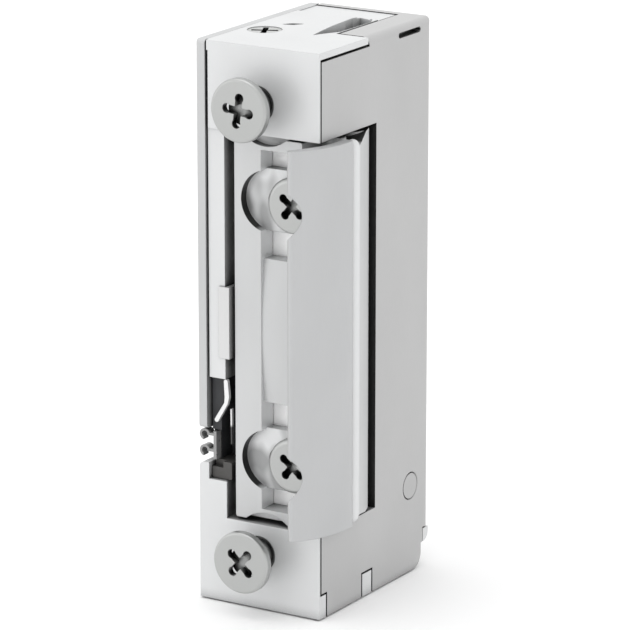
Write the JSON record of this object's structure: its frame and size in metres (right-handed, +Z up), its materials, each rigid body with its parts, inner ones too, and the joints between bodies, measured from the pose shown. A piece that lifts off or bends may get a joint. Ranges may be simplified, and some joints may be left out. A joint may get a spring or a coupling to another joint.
{
  "type": "electric door strike",
  "caption": "Slim mortice electric strike: satin metal casing, pivoting keeper with an adjustable curved latch lip, solenoid release, side terminals and fixing screws.",
  "frame": {"origin": "on the front face, midway between the two fixing screws", "axes": "+X right along the front, towards the latch lip; +Y back into the door frame; +Z up"},
  "size_m": [0.0208, 0.033, 0.075],
  "materials": {
    "die_cast": "satin nickel on die-cast zinc",
    "sheet": "matte nickel on folded steel",
    "cover": "satin",
    "keeper": "satin",
    "lip": "satin",
    "screw": "bright zinc",
    "pin": "ground",
    "spring": "bright spring wire",
    "lever": "zinc plated",
    "brass": "turned",
    "plastic": "moulded",
    "winding": "enamelled wire",
    "lead": "insulated",
    "tag": "bright",
    "suppressor": "matte",
    "slide": "satin"
  },
  "bodies": {
    "casing": {"housing": "die_cast", "side_plate": "sheet", "left_cover": "cover", "cover_rivets": "sheet", "top_screw": "screw", "keeper_pin": "pin", "keeper_spring": "spring", "lever_pin": "pin", "lever_spacers": "brass", "lever_spring": "spring", "coil_bobbin": "plastic", "coil_winding": "winding", "coil_core": "pin", "coil_frame": "lever", "frame_screws": "screw", "coil_leads": "lead", "terminal_block": "plastic", "wire_clamps": "brass", "clamp_screws": "screw", "terminal_tags": "tag", "contact_leaf": "tag", "suppressor": "suppressor", "fixing_screws": "screw"},
    "keeper": {"keeper": "keeper"},
    "lip": {"latch_lip": "lip", "lip_screws": "screw"},
    "lever": {"locking_lever": "lever"},
    "plunger": {"plunger": "pin", "drive_pin": "pin"},
    "day_latch": {"day_latch_slide": "slide"}
  },
  "joints": [
    {"name": "keeper_swing", "type": "hinge", "parent": "casing", "child": "keeper", "pos_m": [0.0062, 0.0112, 0], "axis": [0, 0, 1], "range_deg": [0, 38], "stiffness_Nm_per_rad": 0.003, "springref_deg": -40.11},
    {"name": "lip_adjust", "type": "slide", "parent": "keeper", "child": "lip", "axis": [1, 0, 0], "range_m": [-0.003, 0]},
    {"name": "locking_lever_swing", "type": "hinge", "parent": "casing", "child": "lever", "pos_m": [0, 0.0232, -0.0255], "axis": [-1, 0, 0], "range_deg": [0, 9], "stiffness_Nm_per_rad": 0.002, "springref_deg": -34.38},
    {"name": "plunger_pull", "type": "slide", "parent": "casing", "child": "plunger", "axis": [0, 1, 0], "range_m": [0, 0.00325]},
    {"name": "day_latch_slide", "type": "slide", "parent": "casing", "child": "day_latch", "axis": [0, 0, 1], "range_m": [0, 0.005]}
  ],
  "couplings": [
    {"joint": "locking_lever_swing", "follows": "plunger_pull", "rad_per_m": 48.3}
  ]
}
